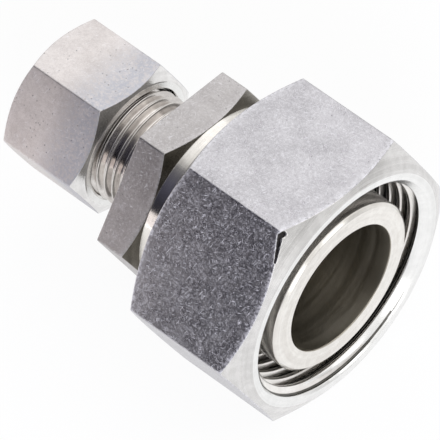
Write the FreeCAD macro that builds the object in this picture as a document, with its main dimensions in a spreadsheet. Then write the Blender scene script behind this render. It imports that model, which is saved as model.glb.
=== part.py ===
import FreeCAD, Part
import os
import Sketcher

# Straight reducing compression fitting: a turned body with a plain tube stub at one end and a
# threaded 24 degree cone at the other, each with its cutting ring and union nut.
# The axis of the fitting is X. The origin is the centre of the stub's end face, +X points out of
# the stub, and +Z is up, square to one flat of all three hexagons.

DIMENSIONS = [
    # Tube stub and collar of the body
    ("stub_dia", 28.0, "outside diameter of the tube stub"),
    ("stub_edge", 0.5, "45 degree edge break round the stub's end"),
    ("stub_bore_dia", 21.0, "bore of the tube stub"),
    ("bore_floor_wall", 3.9, "end of the full stub bore to the hexagon's rear face"),
    ("drill_angle", 59.0, "half angle of the bore's conical floor"),
    ("collar_step", 0.9, "height of the collar above the stub"),
    ("collar_length", 3.0, "shoulder of the collar to the hexagon's front face"),
    # Hexagon of the body
    ("flat_rise", 0.1, "height of the body hexagon's flats above the collar"),
    ("body_hex_length", 6.1, "length of the body's hexagon"),
    ("chamfer_angle", 30.0, "turned chamfers of the hexagons, measured from the end face"),
    # Tube of the small end, its socket and the threaded end of the body
    ("tube_dia", 12.0, "tube that the small end takes"),
    ("tube_gap", 0.05, "radial clearance of the tube in its socket and in its ring"),
    ("stop_step", 1.0, "height of the tube stop under the tube's outside"),
    ("stop_depth", 7.0, "tip of the male end to the stop of the tube"),
    ("cone_angle", 12.0, "half angle of the 24 degree cone"),
    ("cone_rise", 1.1, "mouth of the cone beyond the tube socket, in radius"),
    ("tip_wall", 1.85, "wall of the male end at the mouth of the cone"),
    ("tip_chamfer", 1.0, "45 degree lead chamfer on the tip of the male thread"),
    ("male_length", 12.5, "hexagon's rear face to the tip of the male end"),
    ("relief_depth", 1.1, "depth of the relief behind the male thread"),
    ("relief_length", 2.0, "width of the thread relief"),
    # Cutting ring of the small end
    ("ring_insert", 1.3, "depth of the small ring's front edge in the cone"),
    ("nose_gap", 0.12, "radial clearance of the small ring's nose in the cone"),
    ("ring_nose_length", 2.1, "conical nose of the small ring"),
    ("ring_wall", 1.8, "wall of the small ring at its collar"),
    ("ring_collar_length", 5.0, "plain length of the small ring's collar"),
    ("ring_rear_wall", 0.7, "wall of the small ring at its rear face"),
    ("ring_edge_width", 0.4, "width of the small ring's first cutting edge"),
    ("ring_groove", 0.3, "depth of the groove between the small ring's cutting edges"),
    ("ring_groove_length", 0.8, "length of the groove between the small ring's cutting edges"),
    # Union nut of the small end
    ("nut_wall", 2.0, "wall of the small nut between its thread's major diameter and its flats"),
    ("nut_length", 15.3, "length of the small nut"),
    ("nut_grip", 3.9, "length of male thread inside the small nut as it stands"),
    ("nut_bevel", 0.55, "start of the small nut's open chamfer inside its flats, in radius"),
    ("thread_gap", 0.06, "radial clearance between the male thread and the small nut"),
    ("nut_sink", 0.35, "depth of the countersink in the small nut's mouth"),
    ("nut_hole_gap", 0.1, "radial clearance of the tube in the small nut"),
    ("nut_edge", 0.3, "45 degree edge break round the small nut's tube hole"),
    ("seat_gap", 0.15, "axial clearance between a ring's rear cone and its nut's seat"),
    # Cutting ring of the large end
    ("big_ring_gap", 0.05, "radial clearance of the large ring on the stub"),
    ("big_ring_setback", 6.6, "end face of the stub to the large ring's front edge"),
    ("big_ring_lip", 0.7, "wall of the large ring at its front edge"),
    ("big_ring_nose_length", 2.6, "conical nose of the large ring"),
    ("big_ring_wall", 2.15, "wall of the large ring at its collar"),
    ("big_ring_collar_length", 4.9, "plain length of the large ring's collar"),
    ("big_ring_rear_wall", 0.8, "wall of the large ring at its rear face"),
    ("big_ring_edge_width", 0.5, "width of the large ring's first cutting edge"),
    ("big_ring_groove", 0.35, "depth of the groove between the large ring's cutting edges"),
    ("big_ring_groove_length", 0.9, "length of the groove between the large ring's cutting edges"),
    # Union nut of the large end
    ("big_ring_room", 0.72, "radial clearance of the large ring's collar under the M36 x 2 thread"),
    ("big_sink", 1.43, "depth of the countersink in the large nut's mouth"),
    ("big_nut_wall", 2.15, "wall of the large nut between its countersink and its flats"),
    ("big_nut_length", 21.5, "length of the large nut"),
    ("big_nut_reach", 0.7, "large nut's open face beyond the stub's end face"),
    ("big_nut_play", 1.5, "large nut's rear face to the collar's shoulder"),
    ("big_nut_bevel", 1.0, "start of the large nut's open chamfer inside its flats, in radius"),
    ("big_nut_hole_gap", 0.25, "radial clearance of the stub in the large nut"),
]

STEP_DIR = "parts"
SHEET = "dims"

# How far the turned chamfer cuts reach beyond a hexagon's corners, in mm
CUT_MARGIN = "1"


def d(alias):
    """Expression that reads one driving dimension."""
    return f"{SHEET}.{alias}"


def radius(alias):
    """Expression for half of one diameter of the sheet."""
    return f"{SHEET}.{alias} / 2"


def tangent(alias):
    """Expression for the tangent of one angle of the sheet."""
    return f"tan({SHEET}.{alias} * 1 deg)"


def make_sheet(doc):
    sheet = doc.addObject("Spreadsheet::Sheet", SHEET)
    for row, (alias, value, note) in enumerate(DIMENSIONS, start=1):
        sheet.set(f"A{row}", alias)
        sheet.set(f"B{row}", str(value))
        sheet.set(f"C{row}", note)
        sheet.setAlias(f"B{row}", alias)
    doc.recompute()


def origin_feature(body, role):
    return next(f for f in body.Origin.OriginFeatures if f.Role == role)


def add_sketch(body, name, plane):
    sketch = body.newObject("Sketcher::SketchObject", name)
    sketch.AttachmentSupport = [(origin_feature(body, plane), "")]
    sketch.MapMode = "FlatFace"
    return sketch


def close_outline(sketch, points, places):
    """Closed outline of straight lines whose corners are bound to pairs of expressions.

    points holds the place of each corner in numbers, and places holds the two expressions that
    drive it.
    """
    count = len(points)
    for k in range(count):
        start = FreeCAD.Vector(*points[k], 0)
        end = FreeCAD.Vector(*points[(k + 1) % count], 0)
        sketch.addGeometry(Part.LineSegment(start, end), False)
    for k in range(count):
        sketch.addConstraint(Sketcher.Constraint("Coincident", k, 2, (k + 1) % count, 1))
    for k, (across, up) in enumerate(places):
        for kind, value, expression in (
            ("DistanceX", points[k][0], across),
            ("DistanceY", points[k][1], up),
        ):
            index = sketch.addConstraint(Sketcher.Constraint(kind, -1, 1, k, 1, value))
            sketch.setExpression(f"Constraints[{index}]", expression)


def evaluate(doc, expression):
    """Number that an expression of the sheet gives."""
    value = doc.getObject(SHEET).evalExpression(expression.replace(f"{SHEET}.", ""))
    return float(getattr(value, "Value", value))


def turned_sketch(doc, body, name, corners):
    """Half section on the XZ plane: each corner is (place along X, radius), as expressions."""
    sketch = add_sketch(body, name, "XZ_Plane")
    points = [(evaluate(doc, along), evaluate(doc, out)) for along, out in corners]
    close_outline(sketch, points, corners)
    return sketch


def full_turn(doc, body, kind, name, corners):
    feature = body.newObject(kind, name)
    feature.Profile = turned_sketch(doc, body, name + "Section", corners)
    feature.ReferenceAxis = (origin_feature(body, "X_Axis"), [""])
    feature.Angle = 360


def turn(doc, body, name, corners):
    """Solid turned about X from a half section."""
    full_turn(doc, body, "PartDesign::Revolution", name, corners)


def turn_away(doc, body, name, corners):
    """Cut turned about X from a half section."""
    full_turn(doc, body, "PartDesign::Groove", name, corners)


def hexagon(doc, body, name, half_flats, rear, length):
    """Hexagonal bar with a flat on top, from the place rear and length long."""
    sketch = add_sketch(body, name + "Section", "YZ_Plane")
    sketch.setExpression("AttachmentOffset.Base.z", rear)
    corner = f"(2 * {half_flats} / sqrt(3))"
    half_corner = f"({half_flats} / sqrt(3))"
    places = [
        (corner, "0"),
        (half_corner, half_flats),
        (f"-{half_corner}", half_flats),
        (f"-{corner}", "0"),
        (f"-{half_corner}", f"-{half_flats}"),
        (half_corner, f"-{half_flats}"),
    ]
    points = [(evaluate(doc, across), evaluate(doc, up)) for across, up in places]
    close_outline(sketch, points, places)
    pad = body.newObject("PartDesign::Pad", name)
    pad.Profile = sketch
    pad.setExpression("Length", length)


def hex_chamfer(doc, body, name, half_flats, start_radius, face, into):
    """Turned chamfer on a hexagon's end.

    face is the place of the end face, and into is 1 where the hexagon lies towards +X from it and
    -1 where it lies towards -X.
    """
    clear_radius = f"(2 * {half_flats} / sqrt(3) + {CUT_MARGIN})"
    depth = f"(({clear_radius} - {start_radius}) * {tangent('chamfer_angle')})"
    corners = [
        (face, start_radius),
        (face, clear_radius),
        (f"{face} + {into} * {depth}", clear_radius),
    ]
    turn_away(doc, body, name, corners)


# Radii
STUB = radius("stub_dia")
COLLAR = f"({STUB} + {d('collar_step')})"
TUBE = radius("tube_dia")
TUBE_HOLE = f"({TUBE} + {d('tube_gap')})"
CONE_MOUTH = f"({TUBE_HOLE} + {d('cone_rise')})"
MALE = f"({CONE_MOUTH} + {d('tip_wall')})"
RING_HOLE = f"({STUB} + {d('big_ring_gap')})"
RING_COLLAR = f"({RING_HOLE} + {d('big_ring_wall')})"
BIG_THREAD = f"({RING_COLLAR} + {d('big_ring_room')})"
BIG_SINK = f"({BIG_THREAD} + {d('big_sink')})"

# Places along the axis
BIG_NUT_OPEN = d("big_nut_reach")
BIG_NUT_FAR = f"({BIG_NUT_OPEN} - {d('big_nut_length')})"
SHOULDER = f"({BIG_NUT_FAR} - {d('big_nut_play')})"
HEX_FRONT = f"({SHOULDER} - {d('collar_length')})"
HEX_REAR = f"({HEX_FRONT} - {d('body_hex_length')})"
HEX_MIDDLE = f"(({HEX_FRONT} + {HEX_REAR}) / 2)"
TIP = f"({HEX_REAR} - {d('male_length')})"
TUBE_STOP = f"({TIP} + {d('stop_depth')})"
SMALL_NUT_OPEN = f"({TIP} + {d('nut_grip')})"
SMALL_NUT_FAR = f"({SMALL_NUT_OPEN} - {d('nut_length')})"


def make_body(doc):
    body = doc.addObject("PartDesign::Body", "ReducerBody")
    body.Label = "reducer_body"

    half_flats = f"({COLLAR} + {d('flat_rise')})"
    hexagon(doc, body, "BodyHex", half_flats, HEX_REAR, d("body_hex_length"))
    hex_chamfer(doc, body, "BodyHexChamfer", half_flats, COLLAR, HEX_FRONT, -1)

    turn(doc, body, "StubAndCollar", [
        ("0", "0"),
        ("0", f"{STUB} - {d('stub_edge')}"),
        (f"-{d('stub_edge')}", STUB),
        (SHOULDER, STUB),
        (SHOULDER, COLLAR),
        (HEX_MIDDLE, COLLAR),
        (HEX_MIDDLE, "0"),
    ])
    relief = f"({MALE} - {d('relief_depth')})"
    relief_end = f"({HEX_REAR} - {d('relief_length')})"
    turn(doc, body, "MaleEnd", [
        (HEX_MIDDLE, "0"),
        (HEX_MIDDLE, relief),
        (f"{relief_end} + {d('relief_depth')}", relief),
        (relief_end, MALE),
        (f"{TIP} + {d('tip_chamfer')}", MALE),
        (TIP, f"{MALE} - {d('tip_chamfer')}"),
        (TIP, "0"),
    ])

    bore = radius("stub_bore_dia")
    small_bore = f"({TUBE} - {d('stop_step')})"
    bore_end = f"({HEX_REAR} + {d('bore_floor_wall')})"
    floor_depth = f"(({bore} - {small_bore}) / {tangent('drill_angle')})"
    cone_depth = f"({d('cone_rise')} / {tangent('cone_angle')})"
    turn_away(doc, body, "ThroughBore", [
        ("0", "0"),
        ("0", bore),
        (bore_end, bore),
        (f"{bore_end} - {floor_depth}", small_bore),
        (TUBE_STOP, small_bore),
        (TUBE_STOP, TUBE_HOLE),
        (f"{TIP} + {cone_depth}", TUBE_HOLE),
        (TIP, CONE_MOUTH),
        (TIP, "0"),
    ])
    return body


def cutting_ring(doc, name, label, hole, front, front_radius, sizes):
    """Cutting ring: conical nose, collar between 45 degree cones, and two cutting edges inside."""
    nose, wall, collar_length, rear_wall, edge, groove, groove_length = sizes
    body = doc.addObject("PartDesign::Body", name)
    body.Label = label
    nose_radius = f"({front_radius} + {nose} * {tangent('cone_angle')})"
    nose_end = f"({front} - {nose})"
    collar = f"({hole} + {wall})"
    collar_start = f"({nose_end} - ({collar} - {nose_radius}))"
    collar_end = f"({collar_start} - {collar_length})"
    rear_radius = f"({hole} + {rear_wall})"
    rear = f"({collar_end} - ({collar} - {rear_radius}))"
    turn(doc, body, name + "Blank", [
        (front, hole),
        (front, front_radius),
        (nose_end, nose_radius),
        (collar_start, collar),
        (collar_end, collar),
        (rear, rear_radius),
        (rear, hole),
    ])
    groove_start = f"({front} - {edge})"
    groove_end = f"({groove_start} - {groove_length})"
    turn_away(doc, body, name + "Groove", [
        (groove_start, f"{hole} - {groove}"),
        (groove_start, f"{hole} + {groove}"),
        (groove_end, hole),
        (groove_end, f"{hole} - {groove}"),
    ])
    return body, collar_end, collar


def make_small_ring(doc):
    front = f"({TIP} + {d('ring_insert')})"
    cone_there = f"({CONE_MOUTH} - {d('ring_insert')} * {tangent('cone_angle')})"
    front_radius = f"({cone_there} - {d('nose_gap')})"
    names = (
        "ring_nose_length", "ring_wall", "ring_collar_length", "ring_rear_wall",
        "ring_edge_width", "ring_groove", "ring_groove_length",
    )
    sizes = [d(alias) for alias in names]
    return cutting_ring(doc, "SmallRing", "small_cutting_ring", TUBE_HOLE, front, front_radius, sizes)


def make_big_ring(doc):
    front = f"(-{d('big_ring_setback')})"
    front_radius = f"({RING_HOLE} + {d('big_ring_lip')})"
    names = (
        "big_ring_nose_length", "big_ring_wall", "big_ring_collar_length", "big_ring_rear_wall",
        "big_ring_edge_width", "big_ring_groove", "big_ring_groove_length",
    )
    sizes = [d(alias) for alias in names]
    return cutting_ring(doc, "LargeRing", "large_cutting_ring", RING_HOLE, front, front_radius, sizes)


def make_small_nut(doc, ring_cone_start, ring_cone_radius):
    body = doc.addObject("PartDesign::Body", "SmallNut")
    body.Label = "small_union_nut"
    half_flats = f"({MALE} + {d('nut_wall')})"
    open_radius = f"({half_flats} - {d('nut_bevel')})"
    hexagon(doc, body, "SmallNutHex", half_flats, SMALL_NUT_FAR, d("nut_length"))
    hex_chamfer(doc, body, "SmallNutOpenChamfer", half_flats, open_radius, SMALL_NUT_OPEN, -1)
    hex_chamfer(doc, body, "SmallNutFarChamfer", half_flats, half_flats, SMALL_NUT_FAR, 1)

    thread = f"({MALE} + {d('thread_gap')})"
    hole = f"({TUBE} + {d('nut_hole_gap')})"
    seat_start = f"({ring_cone_start} - {d('seat_gap')} + ({thread} - {ring_cone_radius}))"
    turn_away(doc, body, "SmallNutBore", [
        (SMALL_NUT_OPEN, "0"),
        (SMALL_NUT_OPEN, f"{thread} + {d('nut_sink')}"),
        (f"{SMALL_NUT_OPEN} - {d('nut_sink')}", thread),
        (seat_start, thread),
        (f"{seat_start} - ({thread} - {hole})", hole),
        (f"{SMALL_NUT_FAR} + {d('nut_edge')}", hole),
        (SMALL_NUT_FAR, f"{hole} + {d('nut_edge')}"),
        (SMALL_NUT_FAR, "0"),
    ])
    return body


def make_big_nut(doc, ring_cone_start, ring_cone_radius):
    body = doc.addObject("PartDesign::Body", "LargeNut")
    body.Label = "large_union_nut"
    half_flats = f"({BIG_SINK} + {d('big_nut_wall')})"
    open_radius = f"({half_flats} - {d('big_nut_bevel')})"
    hexagon(doc, body, "LargeNutHex", half_flats, BIG_NUT_FAR, d("big_nut_length"))
    hex_chamfer(doc, body, "LargeNutOpenChamfer", half_flats, open_radius, BIG_NUT_OPEN, -1)
    hex_chamfer(doc, body, "LargeNutFarChamfer", half_flats, half_flats, BIG_NUT_FAR, 1)

    hole = f"({STUB} + {d('big_nut_hole_gap')})"
    seat_start = f"({ring_cone_start} - {d('seat_gap')} + ({BIG_THREAD} - {ring_cone_radius}))"
    turn_away(doc, body, "LargeNutBore", [
        (BIG_NUT_OPEN, "0"),
        (BIG_NUT_OPEN, BIG_SINK),
        (f"{BIG_NUT_OPEN} - {d('big_sink')}", BIG_THREAD),
        (seat_start, BIG_THREAD),
        (f"{seat_start} - ({BIG_THREAD} - {hole})", hole),
        (BIG_NUT_FAR, hole),
        (BIG_NUT_FAR, "0"),
    ])
    return body


def check(doc, parts):
    for item in doc.Objects:
        if "Invalid" in item.State or "Error" in item.State:
            raise RuntimeError(f"{item.Name} failed: {item.State}")
    for part in parts:
        shape = part.Shape
        if shape.isNull() or not shape.isValid():
            raise RuntimeError(f"{part.Label} has no valid shape")
        if len(shape.Solids) != 1:
            raise RuntimeError(f"{part.Label} has {len(shape.Solids)} solids")


def main():
    doc = FreeCAD.newDocument("ReducingFitting")
    make_sheet(doc)
    reducer = make_body(doc)
    small_ring, small_cone_start, small_cone_radius = make_small_ring(doc)
    big_ring, big_cone_start, big_cone_radius = make_big_ring(doc)
    small_nut = make_small_nut(doc, small_cone_start, small_cone_radius)
    big_nut = make_big_nut(doc, big_cone_start, big_cone_radius)
    doc.recompute()

    parts = [reducer, small_ring, small_nut, big_ring, big_nut]
    check(doc, parts)
    os.makedirs(STEP_DIR, exist_ok=True)
    for part in parts:
        part.Shape.exportStep(f"{STEP_DIR}/{part.Label}.step")


main()
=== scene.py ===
import math

import bmesh
import bpy
from mathutils import Matrix, Vector


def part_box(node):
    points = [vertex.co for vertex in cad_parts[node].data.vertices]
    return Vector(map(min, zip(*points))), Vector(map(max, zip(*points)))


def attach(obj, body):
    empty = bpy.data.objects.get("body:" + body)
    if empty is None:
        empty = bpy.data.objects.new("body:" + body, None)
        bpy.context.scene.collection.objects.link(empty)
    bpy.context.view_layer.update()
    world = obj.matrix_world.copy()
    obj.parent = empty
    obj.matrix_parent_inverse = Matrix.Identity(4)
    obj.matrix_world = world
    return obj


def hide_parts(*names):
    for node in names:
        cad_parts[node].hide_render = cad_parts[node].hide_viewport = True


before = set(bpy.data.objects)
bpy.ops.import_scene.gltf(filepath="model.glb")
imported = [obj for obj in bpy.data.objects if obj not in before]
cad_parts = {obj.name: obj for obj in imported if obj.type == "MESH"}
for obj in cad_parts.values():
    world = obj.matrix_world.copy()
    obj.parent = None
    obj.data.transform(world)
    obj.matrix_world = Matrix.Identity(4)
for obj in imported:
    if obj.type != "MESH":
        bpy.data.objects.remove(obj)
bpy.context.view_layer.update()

# Straight reducing compression fitting in stainless steel. The shapes below are written in
# millimetres in the frame of the CAD model: the axis of the fitting is X, the stub's end face
# is at X = 0, and +Z is up. Angles round the axis run from +Y towards +Z. The camera, the lamps
# and the floor are in metres.

MM = 0.001


# Camera at the photograph's angle

CAMERA_AZIMUTH = math.radians(41.342)
CAMERA_ELEVATION = math.radians(48.343)
CAMERA_ROLL = math.radians(1.765)
CAMERA_DISTANCE = 1.0
CAMERA_CLIP = (0.05, 10.0)
LENS_MM = 577.3
SENSOR_MM = 36.0
AIM_RIGHT = -17.25 * MM
AIM_UP = 9.70 * MM


def make_camera():
    az, el, roll = CAMERA_AZIMUTH, CAMERA_ELEVATION, CAMERA_ROLL
    back = Vector((math.sin(az) * math.cos(el), -math.cos(az) * math.cos(el), math.sin(el)))
    level = Vector((math.cos(az), math.sin(az), 0.0))
    upright = back.cross(level)
    right = math.cos(roll) * level + math.sin(roll) * upright
    up = -math.sin(roll) * level + math.cos(roll) * upright
    data = bpy.data.cameras.new("photo_camera")
    data.sensor_width = SENSOR_MM
    data.lens = LENS_MM
    data.clip_start, data.clip_end = CAMERA_CLIP
    camera = bpy.data.objects.new("photo_camera", data)
    place = right * AIM_RIGHT + up * AIM_UP + back * CAMERA_DISTANCE
    turn = Matrix((right, up, back)).transposed().to_4x4()
    camera.matrix_world = Matrix.Translation(place) @ turn
    bpy.context.scene.collection.objects.link(camera)
    bpy.context.scene.camera = camera


make_camera()
bpy.context.scene.view_settings.view_transform = "Standard"


# Sizes: ends of the pieces from the CAD model, radii and places that repeat its sizes, and those
# of the details that only the scene has. FLATS is half the width across the flats.

def ends(node):
    """Lowest and highest X of a CAD node."""
    low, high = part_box(node)
    return low.x / MM, high.x / MM


TIP, _ = ends("reducer_body")
NUT_FAR, NUT_OPEN = ends("large_union_nut")
SMALL_FAR, SMALL_OPEN = ends("small_union_nut")
_, BIG_RING_FRONT = ends("large_cutting_ring")
_, SMALL_RING_FRONT = ends("small_cutting_ring")

# Body, from the stub to the male tip
STUB = 14.0
STUB_BORE = 10.5
COLLAR = 14.9
SHOULDER = -22.3
BODY_FLATS = 15.0
HEX_FRONT = -25.3
HEX_REAR = -31.4
NECK = 7.9
NECK_FRONT = HEX_REAR - 1.0
MALE_TIP = 8.0
TUBE_HOLE = 6.05
TUBE_STOP = TIP + 7.0
CONE_END = TIP + 5.175
WAY = 5.0
WAY_FRONT = -30.805
BORE_REAR = -27.5

# Large nut
NUT_FLATS = 20.5
NUT_CHAMFER = 19.5
NUT_THREAD = 16.92
NUT_THREAD_END = NUT_OPEN - 13.6
NUT_SINK = NUT_THREAD + 1.43
NUT_SINK_DEPTH = 0.33
NUT_HOLE = 14.25
NUT_SHOULDER = (-17.097, -14.427)

# Small nut
SMALL_FLATS = 11.0
SMALL_CHAMFER = 10.45
SMALL_THREAD = 9.06
SMALL_HOLE = 6.1
SMALL_SHOULDER = (-52.25, -49.29)

# Slopes and edges
SLOPE_30 = math.tan(math.radians(30))
SLOPE_12 = math.tan(math.radians(12))
CORNER_ROUND = 0.35
CREASE = 0.08

# Columns round the axis, and the support rings that keep a long strip's shading even
SECTORS = 6
SECTOR = math.pi / 3
SECTOR_COLUMNS = 32
CORNER_SHARES = (-1.0, -0.6, -0.25, 0.25, 0.6, 1.0)
CORNER_ROOM = 1.4
RING_COLUMNS = 144
SUPPORT_GAP = 0.05
SUPPORT_FROM = 0.4
WELD = 0.0005

# Threads. START is where a crest lies at angle 0, and a profile covers one pitch, as (share of
# the pitch, height there), from 1 at the crest to 0 at the root.
MALE_MAJOR = 9.0
MALE_PITCH = 1.5
MALE_HEIGHT = 0.92
MALE_START = -37.05
MALE_PROFILE = [
    (0.0, 1.0), (0.048, 1.0), (0.075, 0.96), (0.16, 0.72), (0.25, 0.47), (0.34, 0.21),
    (0.4, 0.05), (0.44, 0.0), (0.5, 0.0), (0.56, 0.0), (0.6, 0.05), (0.66, 0.21), (0.75, 0.47),
    (0.84, 0.72), (0.925, 0.96), (0.952, 1.0),
]
NUT_PITCH = 2.0
NUT_HEIGHT = 1.08
NUT_RUNOUT = 1.2
NUT_START = -6.35
NUT_GROOVE_SHARE = 0.3
NUT_PROFILE = [
    (0.0, 1.0), (0.11, 1.0), (0.14, 0.96), (0.21, 0.73), (0.29, 0.48), (0.37, 0.22),
    (0.43, 0.04), (0.46, 0.0), (0.5, 0.0), (0.54, 0.0), (0.57, 0.04), (0.63, 0.22), (0.71, 0.48),
    (0.79, 0.73), (0.86, 0.96), (0.89, 1.0),
]

# Nick in the large nut's corner: its line runs along the chamfer's crease from a start angle,
# and close columns and rings carry it. Angles are in degrees.
NICK_START = 120.2
NICK_STEP = 0.26
NICK_POINTS = 40
NICK_HOOK = 5
NICK_HOOK_STEP = 0.1
NICK_WIDTH = 0.55
NICK_DEPTH = 0.55
NICK_PUSH = (-0.5, 0.43, -0.75)
NICK_COLUMNS = [math.radians(118.0 + 0.2 * k) for k in range(68)]
NICK_RINGS_CONE = (1.8, 1.4, 1.15, 1.0, 0.85, 0.7, 0.6, 0.5, 0.4, 0.3, 0.2)
NICK_RINGS_FLAT = (0.15, 0.22, 0.3, 0.4, 0.5, 0.65, 0.8)


# Shells turned about the axis. A station is (place along X, radius, kind of the surface that
# follows), where the place and the radius are numbers or functions of the angle.

def flat_reach(half_flats):
    """Angle from the middle of a flat to where its corner edge starts to curve."""
    return math.atan((half_flats - CORNER_ROUND) * SLOPE_30 / half_flats)


def columns(half_flats, close=()):
    """Angles round the axis: even ones, close ones at the six corner edges, and those of close."""
    touch = SECTOR / 2 - flat_reach(half_flats)
    angles = set()
    for k in range(SECTORS):
        for share in CORNER_SHARES:
            angles.add((k * SECTOR + share * touch) % (2 * math.pi))
        for step in range(SECTOR_COLUMNS):
            off = (step + 0.5) * SECTOR / SECTOR_COLUMNS
            if min(off, SECTOR - off) > CORNER_ROOM * touch:
                angles.add(k * SECTOR + off)
    return sorted(angles.union(close))


def from_flat(angle):
    """Angle from the nearest flat's middle. Corners are at +Y and -Y, flats above and below."""
    return angle % SECTOR - SECTOR / 2


def hex_radius(half_flats):
    """Radius of a hexagon with rounded corner edges, as a function of the angle."""
    touch = flat_reach(half_flats)
    centre = (half_flats - CORNER_ROUND) / math.cos(SECTOR / 2)

    def radius(angle):
        phi = abs(from_flat(angle))
        if phi <= touch:
            return half_flats / math.cos(phi)
        off = SECTOR / 2 - phi
        rise = math.sqrt(max(CORNER_ROUND**2 - (centre * math.sin(off)) ** 2, 0))
        return centre * math.cos(off) + rise

    return radius


def chamfered(outline, start, face, into, cone_kind="turned"):
    """Stations over a turned chamfer and its crease, from the end face to the flats.

    outline gives the hexagon's radius, start is the chamfer's radius in the end face, and into is
    the direction along X in which the hexagon lies.
    """
    def crease(angle):
        return max(outline(angle) - start, CREASE)

    def soft(angle):
        return min(CREASE, 0.45 * crease(angle))

    def foot(angle):
        return outline(angle) - crease(angle)

    steps = [
        (lambda a: 0.0, lambda a: foot(a) - soft(a), cone_kind),
        (lambda a: soft(a) * SLOPE_30, lambda a: foot(a) + soft(a), cone_kind),
        (lambda a: (crease(a) - soft(a)) * SLOPE_30, lambda a: outline(a) - soft(a), "edge"),
        (lambda a: crease(a) * SLOPE_30 + 0.3 * soft(a),
         lambda a: outline(a) - 0.25 * soft(a), "edge"),
        (lambda a: crease(a) * SLOPE_30 + soft(a), outline, "flat"),
    ]
    return [
        (lambda a, depth=depth: face + into * depth(a), radius, kind)
        for depth, radius, kind in steps
    ]


def reversed_stations(stations, face_kind="turned"):
    """The same stations walked the other way; each kind still belongs to the strip it had."""
    strips = [kind for _, _, kind in stations[:-1]][::-1] + [face_kind]
    return [(along, out, kind) for (along, out, _), kind in zip(reversed(stations), strips)]


def with_close_rings(stations, outline, start):
    """Adds close rings on both sides of the crease, where the nick is pressed in."""
    def on_cone(gap):
        def inside(angle):
            return min(gap, 0.8 * (outline(angle) - start))

        return (lambda a: NUT_OPEN - (outline(a) - inside(a) - start) * SLOPE_30,
                lambda a: outline(a) - inside(a), "cone")

    def on_flat(gap):
        return lambda a: NUT_OPEN - (outline(a) - start) * SLOPE_30 - gap, outline, "flat"

    before = [on_cone(gap) for gap in NICK_RINGS_CONE]
    after = [on_flat(gap) for gap in NICK_RINGS_FLAT]
    return [*stations[:2], *before, *stations[2:], *after]


def at(value, angle):
    return value(angle) if callable(value) else value


def strip_length(start, end, angle):
    return math.hypot(*(at(end[k], angle) - at(start[k], angle) for k in (0, 1)))


def just_inside(start, end):
    """Place and radius of a support ring on the strip from start to end, close to start."""
    def share(angle):
        return min(SUPPORT_GAP / max(strip_length(start, end, angle), SUPPORT_GAP), 0.25)

    def between(k, angle):
        first, last = at(start[k], angle), at(end[k], angle)
        return first + share(angle) * (last - first)

    return [lambda angle, k=k: between(k, angle) for k in (0, 1)]


def round_axis(along, out, angle):
    """The point, in millimetres, at a place along the axis, a distance from it and an angle."""
    return along, out * math.cos(angle), out * math.sin(angle)


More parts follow.
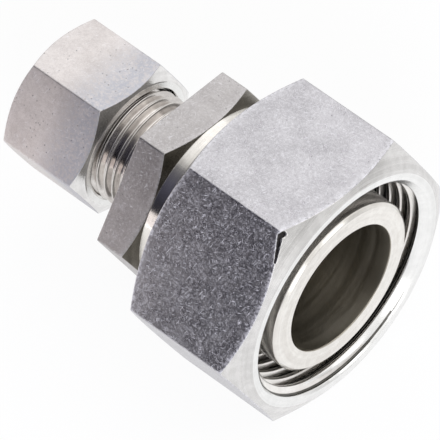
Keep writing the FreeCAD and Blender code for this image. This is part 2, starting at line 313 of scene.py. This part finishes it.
class Shell:
    """Closed shell round the axis, built from rings of vertices."""

    def __init__(self, angles):
        self.angles = angles
        self.points = []
        self.faces = []
        self.kinds = []

    def add_point(self, along, out, angle):
        x, y, z = round_axis(along, out, angle)
        self.points.append((x * MM, y * MM, z * MM))

    def ring(self, along, out):
        start = len(self.points)
        for angle in self.angles:
            self.add_point(at(along, angle), at(out, angle), angle)
        return start

    def join(self, first, second, kind):
        n = len(self.angles)
        for j in range(n):
            k = (j + 1) % n
            self.faces.append((first + j, first + k, second + k, second + j))
            self.kinds.append(kind)

    def run(self, stations):
        """Adds the stations in order, and gives the first and the last ring."""
        first = last = self.ring(*stations[0][:2])
        for before, station in zip(stations, stations[1:]):
            places = [station[:2]]
            if max(strip_length(before, station, a) for a in (0, SECTOR / 2)) > SUPPORT_FROM:
                places = [just_inside(before, station), just_inside(station, before), *places]
            for place in places:
                ring = self.ring(*place)
                self.join(last, ring, before[2])
                last = ring
        return first, last

    def thread(self, low, high, pitch, profile, crest, start, height, limit, groove_share):
        """Helical surface from low to high, whose ends close in plain circles.

        crest is the radius at the crest, height gives the step from there to the root at a place,
        start is where a crest lies at angle 0, and limit cuts the profile where the turned form
        ends it. Strips that start lower in the profile than groove_share are grooves, whose dark
        material paints the shade in the thread's grooves.
        """
        n = len(self.angles)
        cut = set()
        first_turn = math.floor((low - start) / pitch) - 2
        last_turn = math.ceil((high - start) / pitch) + 1
        lines = [(k + u, h) for k in range(first_turn, last_turn + 1) for u, h in profile]
        grid = []
        for u, h in lines:
            line = []
            for angle in [*self.angles, self.angles[0] + 2 * math.pi]:
                x = start + pitch * (u + angle / (2 * math.pi))
                x = min(max(x, low), high)
                share = 1 - h if low < x < high else 1
                free = crest + height(x) * share
                out = limit(x, free)
                if out != free:
                    cut.add(len(self.points))
                line.append(len(self.points))
                self.add_point(x, out, angle)
            grid.append(line)
        for below, above, (_, h) in zip(grid, grid[1:], lines):
            kind = "groove" if h < groove_share else "thread"
            for j in range(n):
                face = (below[j], below[j + 1], above[j + 1], above[j])
                self.faces.append(face)
                self.kinds.append(kind if cut.isdisjoint(face) else "turned")

    def gouge(self, path, width, depth, push):
        """Narrow notch along a line of places, pressed in along push; it tapers to the end."""
        push = Vector(push).normalized()
        last = len(path) - 1
        touched = set()
        for index, point in enumerate(self.points):
            here = Vector(point) / MM
            near, share = min(
                ((here - Vector(place)).length, k / last) for k, place in enumerate(path)
            )
            reach = width * (1.0 - 0.6 * share)
            if near < reach:
                fall = (1 - (near / reach) ** 2) * (1.0 - 0.5 * share)
                self.points[index] = tuple((here + push * depth * fall) * MM)
                if near < 0.75 * reach:
                    touched.add(index)
        # Faces in the notch take the nick kind, a near-black material that paints the shade in it
        for number, face in enumerate(self.faces):
            if sum(index in touched for index in face) >= 3:
                self.kinds[number] = "nick"

    def build(self, name, materials):
        """Makes the piece; materials gives each kind of surface its material."""
        mesh = bpy.data.meshes.new(name)
        mesh.from_pydata(self.points, [], self.faces)
        slots = list(materials)
        for slot in slots:
            mesh.materials.append(materials[slot])
        for polygon, kind in zip(mesh.polygons, self.kinds):
            polygon.material_index = slots.index(kind)
            polygon.use_smooth = True
        shape = bmesh.new()
        shape.from_mesh(mesh)
        bmesh.ops.remove_doubles(shape, verts=shape.verts, dist=WELD * MM)
        bmesh.ops.dissolve_degenerate(shape, edges=shape.edges, dist=WELD * MM)
        bmesh.ops.recalc_face_normals(shape, faces=shape.faces)
        open_edges = sum(not edge.is_manifold for edge in shape.edges)
        shape.to_mesh(mesh)
        shape.free()
        print(name, "faces", len(mesh.polygons), "open edges", open_edges)
        piece = bpy.data.objects.new(name, mesh)
        bpy.context.scene.collection.objects.link(piece)
        weighted = piece.modifiers.new("weighted_normals", "WEIGHTED_NORMAL")
        weighted.weight = 100
        return piece


# Materials. Sizes of patterns are in millimetres.

UV_LAYER = "surface"
UV_UNIT_MM = 10.0
UV_SIDE_SHIFT = 3.0

NOISE_LOW, NOISE_HIGH = 0.3, 0.7
MARK_COLOUR = (0.93, 0.93, 0.95)
# Painted shade in the pits, which are also bumped in as dents
PIT_SHADE_COLOUR = (0.12, 0.12, 0.13)
STAIN_COLOUR = (0.36, 0.39, 0.47)
FRINGE_MM = 1.2
STROKE_EDGE = 0.32
STROKE_WIDTH_MM = 0.08
STROKES = (  # angle, length in mm, share of the cells that hold one, strength
    (0.35, 0.8, 0.06, 0.8), (0.9, 0.5, 0.25, 0.45), (1.25, 1.3, 0.04, 0.8),
    (1.7, 0.5, 0.25, 0.45), (2.2, 0.8, 0.06, 0.7), (2.8, 0.5, 0.25, 0.45), (0.1, 0.5, 0.25, 0.4),
)
RING_MM = 0.18
RING_WANDER_M = 0.0009


class Graph:
    """Short way to write a node material or world."""

    def __init__(self, owner):
        owner.use_nodes = True
        self.tree = owner.node_tree
        self.tree.nodes.clear()

    def feed(self, node, key, value):
        if isinstance(value, bpy.types.NodeSocket):
            self.tree.links.new(value, node.inputs[key])
        else:
            node.inputs[key].default_value = value

    def node(self, kind, sockets=None, **props):
        node = self.tree.nodes.new(kind)
        for key, value in props.items():
            setattr(node, key, value)
        for key, value in (sockets or {}).items():
            self.feed(node, key, value)
        return node

    def add(self, kind, sockets=None, out=0, **props):
        return self.node(kind, sockets, **props).outputs[out]

    def math(self, operation, *values):
        return self.add("ShaderNodeMath", dict(enumerate(values)), operation=operation)

    def plus(self, first, *others):
        for other in others:
            first = self.math("ADD", first, other)
        return first

    def times(self, first, second):
        return self.math("MULTIPLY", first, second)

    def most(self, first, second):
        return self.math("MAXIMUM", first, second)

    def dot(self, vector, direction):
        return self.add("ShaderNodeVectorMath", {0: vector, 1: direction}, out=1,
                        operation="DOT_PRODUCT")

    def scaled(self, vector, factors):
        return self.add("ShaderNodeVectorMath", {0: vector, 1: factors}, operation="MULTIPLY")

    def span(self, value, low, high, to_low=0.0, to_high=1.0):
        """Smooth step from to_low, where value is low, to to_high, where it is high."""
        sockets = {
            "Value": value, "From Min": low, "From Max": high, "To Min": to_low, "To Max": to_high,
        }
        return self.add("ShaderNodeMapRange", sockets, interpolation_type="SMOOTHSTEP")

    def layer(self, noise, to_low, to_high):
        """A noise's usual values spread over a range."""
        return self.span(noise, NOISE_LOW, NOISE_HIGH, to_low, to_high)

    def blend(self, share, first, second):
        return self.add("ShaderNodeMix", {0: share, 6: first, 7: second}, out=2, data_type="RGBA")

    def noise(self, vector, size_mm, detail, rough):
        sockets = {
            "Vector": vector, "Scale": 1000.0 / size_mm, "Detail": detail, "Roughness": rough,
        }
        return self.add("ShaderNodeTexNoise", sockets)

    def cells(self, sockets, edge, inner, kept, **props):
        """1 in small spots, one in some of the cells of a random pattern, and 0 elsewhere."""
        node = self.node("ShaderNodeTexVoronoi", sockets, **props)
        spot = self.span(node.outputs["Distance"], edge, edge * inner)
        lucky = self.add("ShaderNodeSeparateColor", {"Color": node.outputs["Color"]})
        return self.times(spot, self.math("LESS_THAN", lucky, kept))

    def dots(self, vector, cell_mm, radius, kept):
        return self.cells({"Vector": vector, "Scale": 1000.0 / cell_mm}, radius, 0.3, kept)

    def strokes(self, flat, angle, length_mm, width_mm, kept):
        """Thin short strokes in one direction of the surface's own coordinates."""
        turned = self.add("ShaderNodeVectorRotate", {"Vector": flat, "Angle": angle},
                          rotation_type="Z_AXIS")
        stretch = (2 * STROKE_EDGE / length_mm, 2 * STROKE_EDGE / width_mm, 1.0)
        sockets = {"Vector": self.scaled(turned, stretch), "Scale": UV_UNIT_MM}
        return self.cells(sockets, STROKE_EDGE, 0.5, kept, voronoi_dimensions="2D")

    def bump(self, height, strength, depth_mm, normal=None):
        sockets = {"Height": height, "Strength": strength, "Distance": depth_mm * MM}
        if normal is not None:
            sockets["Normal"] = normal
        return self.add("ShaderNodeBump", sockets)

    def split(self, vector):
        """The X, Y and Z of a vector."""
        return self.node("ShaderNodeSeparateXYZ", {0: vector}).outputs

    def axial(self, place):
        """A place's X, its Y, and its distance from the axis."""
        along, across, up = self.split(place)
        square = self.plus(self.times(across, across), self.times(up, up))
        return along, across, self.math("SQRT", square)

    def metal(self, sockets):
        shader = self.add("ShaderNodeBsdfPrincipled", {"Metallic": 1.0, **sockets})
        self.output("ShaderNodeOutputMaterial", shader)

    def output(self, kind, surface):
        self.node(kind, {"Surface": surface})


def rgb(red, green, blue):
    return (red, green, blue, 1.0)


def drawn_steel(name, pale, dark, rough, marks, pits, grain, coarse, worn, stain=None):
    """Drawn bar: cloudy satin with a fine grain, light dings and short strokes, and dark pits.

    marks and pits say how many there are. worn lists the turned chamfers along which the surface
    is rubbed, as (the end face's X, the chamfer's radius there, direction of the hexagon), and
    stain is where along X a bluish stain starts and where it is full.
    """
    material = bpy.data.materials.new(name)
    g = Graph(material)
    place = g.add("ShaderNodeTexCoord", out=3)
    flat = g.add("ShaderNodeUVMap", uv_map=UV_LAYER)
    along, _, out = g.axial(place)
    cloud = g.noise(place, size_mm=5.0, detail=4.0, rough=0.6)
    patch = g.noise(place, size_mm=1.3, detail=3.0, rough=0.6)
    mottle = g.noise(place, size_mm=0.45, detail=3.0, rough=0.65)
    speck = g.noise(place, size_mm=0.16, detail=2.0, rough=0.6)
    share = g.plus(
        g.layer(cloud, 0.0, 0.3), g.layer(patch, 0.0, 0.2), g.layer(speck, 0.0, 0.25),
        g.layer(mottle, 0.0, 0.25),
    )
    colour = g.blend(share, rgb(*dark), rgb(*pale))
    if stain:
        start, full = (x * MM for x in stain)
        stained = g.times(g.span(along, start, full), g.span(mottle, 0.35, 0.6, 0.35, 1.0))
        colour = g.blend(g.times(stained, 0.65), colour, rgb(*STAIN_COLOUR))

    ding = g.dots(place, cell_mm=0.7, radius=0.13, kept=0.45 * marks)
    peck = g.dots(place, cell_mm=0.25, radius=0.25, kept=0.45 * marks)
    mark = g.most(ding, g.times(peck, 0.6))
    for angle, length, kept, strength in STROKES:
        stroke = g.strokes(flat, angle, length, STROKE_WIDTH_MM, kept * marks)
        mark = g.most(mark, g.times(stroke, strength))
    # Pits: real dents in the bump, and darkened with painted shade
    pit_dent_and_shade = g.dots(place, cell_mm=0.8, radius=0.2, kept=pits)
    pit_dent_and_shade = g.times(pit_dent_and_shade, g.span(cloud, 0.35, 0.6, 0.3, 1.0))
    speckle = g.dots(place, cell_mm=0.45, radius=0.3, kept=0.5 * marks)
    rub = g.span(mottle, 0.38, 0.6, 0.25, 1.0)
    for face, start, into in worn:
        from_cone = g.math("MULTIPLY_ADD", along, into, (start * SLOPE_30 - into * face) * MM)
        from_cone = g.math("SUBTRACT", from_cone, g.times(out, SLOPE_30))
        fringe = g.span(from_cone, 0.0, FRINGE_MM * MM, 1.0, 0.0)
        mark = g.most(mark, g.times(g.times(fringe, 0.6 * marks), rub))
        pit_dent_and_shade = g.most(pit_dent_and_shade, g.times(speckle, fringe))

    # The marks scatter light: they lower the metallic share and are paler.
    haze = g.most(mark, g.span(speck, 0.45, 0.75, 0.0, 0.35 * marks))
    colour = g.blend(g.times(haze, 0.6), colour, rgb(*MARK_COLOUR))
    # Painted shade: the pits and the specks along the worn edges are darkened in the colour
    colour = g.blend(g.times(pit_dent_and_shade, 0.7), colour, rgb(*PIT_SHADE_COLOUR))

    lines = g.noise(g.scaled(place, (0.08, 1.0, 1.0)), size_mm=0.14, detail=3.0, rough=0.6)
    height = g.plus(g.times(lines, 0.5 * grain), g.times(speck, grain), g.times(mottle, coarse))
    satin = g.bump(g.math("SUBTRACT", height, pit_dent_and_shade), strength=0.5, depth_mm=0.014)
    g.metal({
        "Base Color": colour, "Metallic": g.span(haze, 0.0, 1.0, 1.0, 0.1),
        "Roughness": g.layer(patch, rough - 0.03, rough + 0.04),
        "Normal": g.bump(g.times(mark, -1.0), strength=1.0, depth_mm=0.004, normal=satin),
    })
    return material


def turned_steel(name, pale, dark, rough, groove):
    """Turned surface: fine rings round the axis, whose gloss runs across them."""
    material = bpy.data.materials.new(name)
    g = Graph(material)
    place = g.add("ShaderNodeTexCoord", out=3)
    along, across, out = g.axial(place)
    slow = g.times(g.math("DIVIDE", across, out), RING_WANDER_M)
    rings = g.add("ShaderNodeCombineXYZ", {"X": along, "Y": out, "Z": slow})
    fine = g.noise(rings, size_mm=RING_MM, detail=4.0, rough=0.7)
    wide = g.noise(rings, size_mm=RING_MM * 6, detail=3.0, rough=0.6)
    patch = g.noise(place, size_mm=1.6, detail=4.0, rough=0.6)
    share = g.plus(g.layer(wide, 0.0, 0.6), g.span(patch, 0.35, 0.7, 0.0, 0.4))
    height = g.plus(g.times(fine, groove), g.times(wide, groove * 0.6))
    g.metal({
        "Base Color": g.blend(share, rgb(*dark), rgb(*pale)),
        "Roughness": g.layer(wide, rough - 0.04, rough + 0.05),
        "Normal": g.bump(height, strength=0.6, depth_mm=0.012),
        "Anisotropic": 0.6, "Anisotropic Rotation": 0.25,
        "Tangent": g.add("ShaderNodeTangent", direction_type="RADIAL", axis="X"),
    })
    return material


body_flat = drawn_steel(
    "body_drawn_steel", pale=(0.56, 0.54, 0.54), dark=(0.34, 0.32, 0.32), rough=0.38,
    marks=0.4, pits=0.25, grain=1.1, coarse=1.2, worn=[(HEX_FRONT, COLLAR + CREASE, -1)],
)
nut_flat = drawn_steel(
    "nut_drawn_steel", pale=(0.58, 0.57, 0.595), dark=(0.32, 0.31, 0.33), rough=0.3,
    marks=1.0, pits=0.05, grain=1.0, coarse=0.25,
    worn=[(NUT_FAR, NUT_FLATS - CREASE, 1), (NUT_OPEN, NUT_CHAMFER, -1)],
)
small_flat = drawn_steel(
    "small_nut_drawn_steel", pale=(0.82, 0.78, 0.77), dark=(0.54, 0.50, 0.49), rough=0.44,
    marks=0.2, pits=0.6, grain=1.3, coarse=1.4,
    worn=[(SMALL_OPEN, SMALL_CHAMFER, -1), (SMALL_FAR, SMALL_FLATS - CREASE, 1)],
    stain=(-50.0, -42.0),
)

# Turned surfaces: pale and dark colour, roughness, depth of the rings
body_turned = turned_steel("body_turned_steel", (0.92, 0.90, 0.86), (0.74, 0.71, 0.67), 0.2, 0.8)
body_bore = turned_steel("body_bore_steel", (0.46, 0.43, 0.37), (0.40, 0.37, 0.31), 0.36, 0.3)
nut_turned = turned_steel("nut_turned_steel", (0.95, 0.95, 0.94), (0.82, 0.82, 0.81), 0.22, 0.7)
# Painted shade: dark turned steel for the hex's front chamfer and the large nut's rear face, where
# the two parts face each other
gap_shade_steel = turned_steel("gap_painted_shade_steel", (0.37, 0.35, 0.32), (0.24, 0.23, 0.21), 0.2, 1.0)
# Painted shade: dark turned steel for the hex's rear face, facing the small nut
rear_shade_steel = turned_steel("rear_painted_shade_steel", (0.32, 0.31, 0.30), (0.20, 0.19, 0.18), 0.2, 1.0)
cone_steel = turned_steel(
    "chamfer_turned_steel", (0.84, 0.83, 0.82), (0.62, 0.61, 0.60), 0.26, 1.0)
small_cone_steel = turned_steel(
    "small_chamfer_turned_steel", (0.88, 0.87, 0.86), (0.68, 0.67, 0.66), 0.13, 1.0)
# Painted shade: near-black turned steel for the roots of the large nut's thread
groove_shade_steel = turned_steel("groove_painted_shade_steel", (0.20, 0.19, 0.18), (0.08, 0.08, 0.07), 0.3, 0.5)
# Painted shade: a darker copy of the thread steel for the male thread, which lies near the nut's
# mouth
male_thread_shade_steel = turned_steel("male_thread_painted_shade_steel", (0.82, 0.79, 0.76), (0.50, 0.47, 0.45), 0.15, 0.3)
thread_steel = turned_steel("thread_steel", (0.95, 0.93, 0.90), (0.76, 0.73, 0.70), 0.18, 0.4)
ring_steel = turned_steel("ring_turned_steel", (0.55, 0.53, 0.50), (0.40, 0.38, 0.36), 0.28, 0.8)
# Painted shade: near-black steel for the faces inside the nick
nick_painted_shade_steel = turned_steel("nick_painted_shade_steel", (0.10, 0.09, 0.09), (0.03, 0.03, 0.03), 0.5, 1.0)


def surfaces(turned, flat, thread, bore, cone=cone_steel):
    """The material of each kind of surface that a station or a thread can name."""
    return {
        "turned": turned, "flat": flat, "edge": flat, "thread": thread, "bore": bore, "cone": cone,
        "nick": nick_painted_shade_steel, "gap": gap_shade_steel, "rear": rear_shade_steel, "groove": groove_shade_steel,
    }


# Pieces

def flat_coordinates(piece):
    """Coordinates on the surface for the strokes, along the axis and across each side."""
    mesh = piece.data
    layer = mesh.uv_layers.new(name=UV_LAYER)
    unit = UV_UNIT_MM * MM
    for polygon in mesh.polygons:
        middle = math.atan2(polygon.center.z, polygon.center.y) % (2 * math.pi)
        side = math.floor(middle / SECTOR)
        normal_angle = (side + 0.5) * SECTOR
        for index in polygon.loop_indices:
            point = mesh.vertices[mesh.loops[index].vertex_index].co
            angle = math.atan2(point.z, point.y)
            across = math.hypot(point.y, point.z) * math.sin(angle - normal_angle)
            layer.data[index].uv = (point.x / unit, across / unit + UV_SIDE_SHIFT * side)


def make_body():
    flats = hex_radius(BODY_FLATS)
    shell = Shell(columns(BODY_FLATS))
    outside = [
        (0.0, STUB_BORE + 0.22, "turned"),
        (0.0, STUB - 0.6, "turned"),
        (-0.08, STUB - 0.48, "turned"),
        (-0.42, STUB - 0.1, "turned"),
        (-0.55, STUB, "turned"),
        (SHOULDER + 0.2, STUB, "turned"),
        (SHOULDER + 0.05, STUB + 0.06, "turned"),
        (SHOULDER, STUB + 0.22, "turned"),
        (SHOULDER, COLLAR - 0.2, "turned"),
        (SHOULDER - 0.06, COLLAR - 0.06, "turned"),
        (SHOULDER - 0.2, COLLAR, "turned"),
        (HEX_FRONT + 0.02, COLLAR, "turned"),
        # The chamfer takes gap, a dark material that paints the shade between the hex and the large
        # nut
        *chamfered(flats, COLLAR + CREASE, HEX_FRONT, -1, "gap"),
        (HEX_REAR + CREASE, flats, "edge"),
        (HEX_REAR + 0.03, lambda a: flats(a) - 0.04, "edge"),
        # The hex's rear face takes rear, a dark material that paints its shade
        (HEX_REAR, lambda a: flats(a) - CREASE, "rear"),
        (HEX_REAR, NECK + 0.3, "turned"),
        (HEX_REAR - 0.08, NECK + 0.08, "turned"),
        (HEX_REAR - 0.3, NECK, "turned"),
        (NECK_FRONT + 0.1, NECK, "turned"),
        (NECK_FRONT, NECK + 0.1, "turned"),
    ]
    inside = [
        (TIP, MALE_TIP, "turned"),
        (TIP, TUBE_HOLE + 1.2, "turned"),
        (TIP + 0.1, TUBE_HOLE + 1.07, "turned"),
        (CONE_END, TUBE_HOLE, "bore"),
        (TUBE_STOP, TUBE_HOLE, "bore"),
        (TUBE_STOP, WAY + 0.05, "bore"),
        (TUBE_STOP + 0.05, WAY, "bore"),
        (WAY_FRONT, WAY, "bore"),
        (BORE_REAR, STUB_BORE, "bore"),
        (-0.22, STUB_BORE, "bore"),
        (-0.05, STUB_BORE + 0.08, "turned"),
    ]

    def limit(x, out):
        """Keeps the thread inside the tip's lead-in and the neck's runout."""
        lead_in = MALE_TIP + (x - TIP)
        runout = MALE_MAJOR - (x - (HEX_REAR - 2.0))
        return min(out, lead_in, runout)

    first, _ = shell.run(outside)
    shell.thread(TIP, NECK_FRONT, MALE_PITCH, MALE_PROFILE, MALE_MAJOR, MALE_START,
                 lambda x: -MALE_HEIGHT, limit, groove_share=0.0)
    _, last = shell.run(inside)
    shell.join(last, first, "turned")
    return shell.build("reducer_turned", surfaces(body_turned, body_flat, male_thread_shade_steel, body_bore))


def nick_path(outline):
    """Points along the chamfer's crease, from a short hook on the chamfer."""
    path = []
    for k in range(NICK_POINTS):
        angle = math.radians(NICK_START + NICK_STEP * k)
        out = outline(angle) - NICK_HOOK_STEP * max(NICK_HOOK - k, 0)
        path.append(round_axis(NUT_OPEN - (out - NUT_CHAMFER) * SLOPE_30, out, angle))
    return path


def make_big_nut():
    flats = hex_radius(NUT_FLATS)
    shell = Shell(columns(NUT_FLATS, NICK_COLUMNS))

    def height(x):
        return NUT_HEIGHT * min(max((x - NUT_THREAD_END) / NUT_RUNOUT, 0.0), 1.0)

    def limit(x, out):
        """Opens the thread to the countersink at the mouth."""
        return max(out, NUT_SINK - (NUT_OPEN - x))

    mouth = chamfered(flats, NUT_CHAMFER, NUT_OPEN, -1, "cone")
    stations = [
        (NUT_OPEN - NUT_SINK_DEPTH, NUT_SINK - NUT_SINK_DEPTH, "turned"),
        (NUT_OPEN - 0.05, NUT_SINK - 0.05, "turned"),
        (NUT_OPEN, NUT_SINK + 0.05, "turned"),
        *with_close_rings(mouth, flats, NUT_CHAMFER),
        # The nut's rear face takes gap, a dark material that paints the shade between it and the
        # body's hex
        *reversed_stations(chamfered(flats, NUT_FLATS - CREASE, NUT_FAR, 1), "gap"),
        (NUT_FAR, NUT_HOLE + 0.25, "turned"),
        (NUT_FAR + 0.1, NUT_HOLE + 0.05, "bore"),
        (NUT_FAR + 0.25, NUT_HOLE, "bore"),
        (NUT_SHOULDER[0], NUT_HOLE, "bore"),
        (NUT_SHOULDER[1], NUT_THREAD, "bore"),
        (NUT_THREAD_END, NUT_THREAD, "bore"),
    ]
    shell.run(stations)
    shell.thread(NUT_THREAD_END, NUT_OPEN - NUT_SINK_DEPTH, NUT_PITCH, NUT_PROFILE, NUT_THREAD,
                 NUT_START, height, limit, NUT_GROOVE_SHARE)
    shell.gouge(nick_path(flats), NICK_WIDTH, NICK_DEPTH, NICK_PUSH)
    return shell.build("large_nut_shell", surfaces(nut_turned, nut_flat, thread_steel, nut_turned))


def make_small_nut():
    flats = hex_radius(SMALL_FLATS)
    shell = Shell(columns(SMALL_FLATS))
    stations = [
        (SMALL_OPEN - 0.3, SMALL_THREAD + 0.05, "turned"),
        (SMALL_OPEN, SMALL_THREAD + 0.35, "turned"),
        *chamfered(flats, SMALL_CHAMFER, SMALL_OPEN, -1, "cone"),
        *reversed_stations(chamfered(flats, SMALL_FLATS - CREASE, SMALL_FAR, 1)),
        (SMALL_FAR, SMALL_HOLE + 0.3, "turned"),
        (SMALL_FAR + 0.3, SMALL_HOLE, "bore"),
        (SMALL_SHOULDER[0], SMALL_HOLE, "bore"),
        (SMALL_SHOULDER[1], SMALL_THREAD, "bore"),
        (SMALL_OPEN - 0.35, SMALL_THREAD, "bore"),
    ]
    first, last = shell.run(stations)
    shell.join(last, first, "bore")
    materials = surfaces(nut_turned, small_flat, thread_steel, nut_turned, small_cone_steel)
    return shell.build("small_nut_shell", materials)


def make_ring(name, hole, front, lip, nose, wall, collar, rear_wall, edge, groove, groove_length):
    """Cutting ring with two cutting edges inside its nose and a shallow neck behind it.

    hole is its radius, lip, wall and rear_wall are its thickness at the front, the collar and the
    rear, nose and collar are lengths, edge is the way from the front to the second cutting edge,
    and groove is the depth of the neck behind that edge.
    """
    shell = Shell([(k + 0.5) * 2 * math.pi / RING_COLUMNS for k in range(RING_COLUMNS)])
    nose_radius = hole + lip + nose * SLOPE_12
    nose_end = front - nose
    outer = hole + wall
    collar_start = nose_end - (outer - nose_radius)
    collar_end = collar_start - collar
    rear = collar_end - (wall - rear_wall)
    groove_start = front - edge
    profile = [
        (front, hole + 0.05),
        (front, hole + lip - 0.05),
        (front - 0.06, hole + lip),
        (nose_end, nose_radius),
        (collar_start + 0.05, outer - 0.05),
        (collar_start - 0.05, outer),
        (collar_end + 0.05, outer),
        (collar_end - 0.05, outer - 0.05),
        (rear, hole + rear_wall),
        (rear, hole + 0.1),
        (rear + 0.1, hole),
        (groove_start - groove_length, hole),
        (groove_start, hole + groove),
        (groove_start, hole),
    ]
    first, last = shell.run([(along, out, "turned") for along, out in profile])
    shell.join(last, first, "turned")
    return shell.build(name, {"turned": ring_steel})


pieces = [  # piece, body that it rides on, CAD node that it replaces, material slot
    (make_body(), "fitting_body", "reducer_body", "body_steel"),
    (make_big_nut(), "large_nut", "large_union_nut", "nut_steel"),
    (make_small_nut(), "small_nut", "small_union_nut", "nut_steel"),
    (make_ring("large_ring_turned", hole=14.05, front=BIG_RING_FRONT, lip=0.7, nose=2.6, wall=2.15,
               collar=4.9, rear_wall=0.8, edge=0.5, groove=0.35, groove_length=0.9),
     "large_ring", "large_cutting_ring", "ring_steel"),
    (make_ring("small_ring_turned", hole=6.05, front=SMALL_RING_FRONT, lip=0.7037, nose=2.1,
               wall=1.8, collar=5.0, rear_wall=0.7, edge=0.4, groove=0.3, groove_length=0.8),
     "small_ring", "small_cutting_ring", "ring_steel"),
]
for piece, body, node, slot in pieces:
    flat_coordinates(piece)
    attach(piece, body)
    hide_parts(node)


# Floor, light and world, in metres

FLOOR_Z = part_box("large_union_nut")[0].z
FLOOR_GAP = 0.0002
FLOOR_RADIUS = 0.2
FLOOR_CENTRE = (0.02, 0.05)
FLOOR_COLOUR = (0.8, 0.8, 0.8)
FLOOR_WHITE_TO_CAMERA = 0.93
FLOOR_WHITE_TO_GLOSS = 0.85

# Directions in which the studio is dark, as the photo's metal mirrors it
FRONT_LEFT = (-0.439, -0.896, 0.059)
FRONT_ABOVE = (-0.40, -0.78, 0.48)
RIGHT = (0.87, 0.5, 0.0)
STUDIO_WARM = (1.0, 0.995, 0.99)
STUDIO_VIOLET = (0.7, 0.7, 1.0)

WHITE = (1.0, 1.0, 1.0)
LAMPS = [  # name, place, aim, width and height, watts, colour, seen in reflections
    ("key_lamp", (-0.05, 0.25, 0.5), (-0.027, 0, 0), (0.5, 0.5), 0.395, WHITE, True),
    ("side_lamp", (0.4, 0.15, 0.2), (-0.01, 0, 0), (0.2, 0.2), 0.1, WHITE, True),
    ("front_lamp", (0.30, -0.31, 0.25), (-0.02, 0, 0), (0.15, 0.15), 2.0, (0.84, 0.85, 1.0), False),
    ("right_card", (0.44, -0.21, 0.09), (0, 0, 0), (0.2, 0.2), 0.13, WHITE, True),
    ("left_card", (-0.090, -0.078, -0.003), (-0.036, -0.01, 0), (0.07, 0.03), 0.0088,
     (1.0, 0.93, 0.91), True),
]


def make_floor():
    mesh = bpy.data.meshes.new("studio_floor")
    shape = bmesh.new()
    bmesh.ops.create_circle(shape, cap_ends=True, segments=96, radius=FLOOR_RADIUS)
    bmesh.ops.translate(shape, verts=shape.verts, vec=(*FLOOR_CENTRE, FLOOR_Z - FLOOR_GAP))
    shape.to_mesh(mesh)
    shape.free()
    floor = bpy.data.objects.new("studio_floor", mesh)
    bpy.context.scene.collection.objects.link(floor)
    material = bpy.data.materials.new("studio_floor_white")
    g = Graph(material)
    ray = g.node("ShaderNodeLightPath").outputs
    plain = g.add("ShaderNodeBsdfDiffuse", {"Color": rgb(*FLOOR_COLOUR), "Roughness": 0.0})
    white = g.add("ShaderNodeEmission", {"Color": rgb(*WHITE), "Strength": 1.0})
    seen = g.plus(
        g.times(ray["Is Camera Ray"], FLOOR_WHITE_TO_CAMERA),
        g.times(ray["Is Glossy Ray"], FLOOR_WHITE_TO_GLOSS),
    )
    mixed = g.add("ShaderNodeMixShader", {0: seen, 1: plain, 2: white})
    g.output("ShaderNodeOutputMaterial", mixed)
    mesh.materials.append(material)


def make_lamp(name, place, aim, size, power, colour, glossy):
    data = bpy.data.lights.new(name, "AREA")
    data.shape = "RECTANGLE"
    data.size, data.size_y = size
    data.energy = power
    data.color = colour
    lamp = bpy.data.objects.new(name, data)
    lamp.location = place
    lamp.visible_camera = False
    lamp.visible_glossy = glossy
    lamp.rotation_euler = (Vector(aim) - Vector(place)).to_track_quat("-Z", "Y").to_euler()
    bpy.context.scene.collection.objects.link(lamp)


def make_world():
    """White to the camera, and a studio with dark sides to the object."""
    world = bpy.data.worlds.new("studio_world")
    bpy.context.scene.world = world
    g = Graph(world)
    way = g.add("ShaderNodeTexCoord", out=0)
    towards = g.dot(way, FRONT_LEFT)
    shade = g.times(
        g.span(towards, 0.3, 0.85, 0.9, 0.14),
        g.span(g.dot(way, FRONT_ABOVE), 0.75, 0.94, 1.0, 0.2),
    )
    high = g.span(g.split(way)["Z"], 0.1, 0.75, 0.0, 0.1)
    level = g.times(g.plus(shade, high), g.span(g.dot(way, RIGHT), 0.85, 0.98, 1.0, 0.7))
    tint = g.blend(g.span(towards, 0.5, 0.9), rgb(*STUDIO_WARM), rgb(*STUDIO_VIOLET))
    studio = g.add("ShaderNodeBackground", {"Color": tint, "Strength": level})
    white = g.add("ShaderNodeBackground", {"Color": rgb(*WHITE), "Strength": 1.0})
    ray = g.node("ShaderNodeLightPath").outputs
    mixed = g.add("ShaderNodeMixShader", {0: ray["Is Camera Ray"], 1: studio, 2: white})
    g.output("ShaderNodeOutputWorld", mixed)


make_floor()
make_world()
for lamp in LAMPS:
    make_lamp(*lamp)
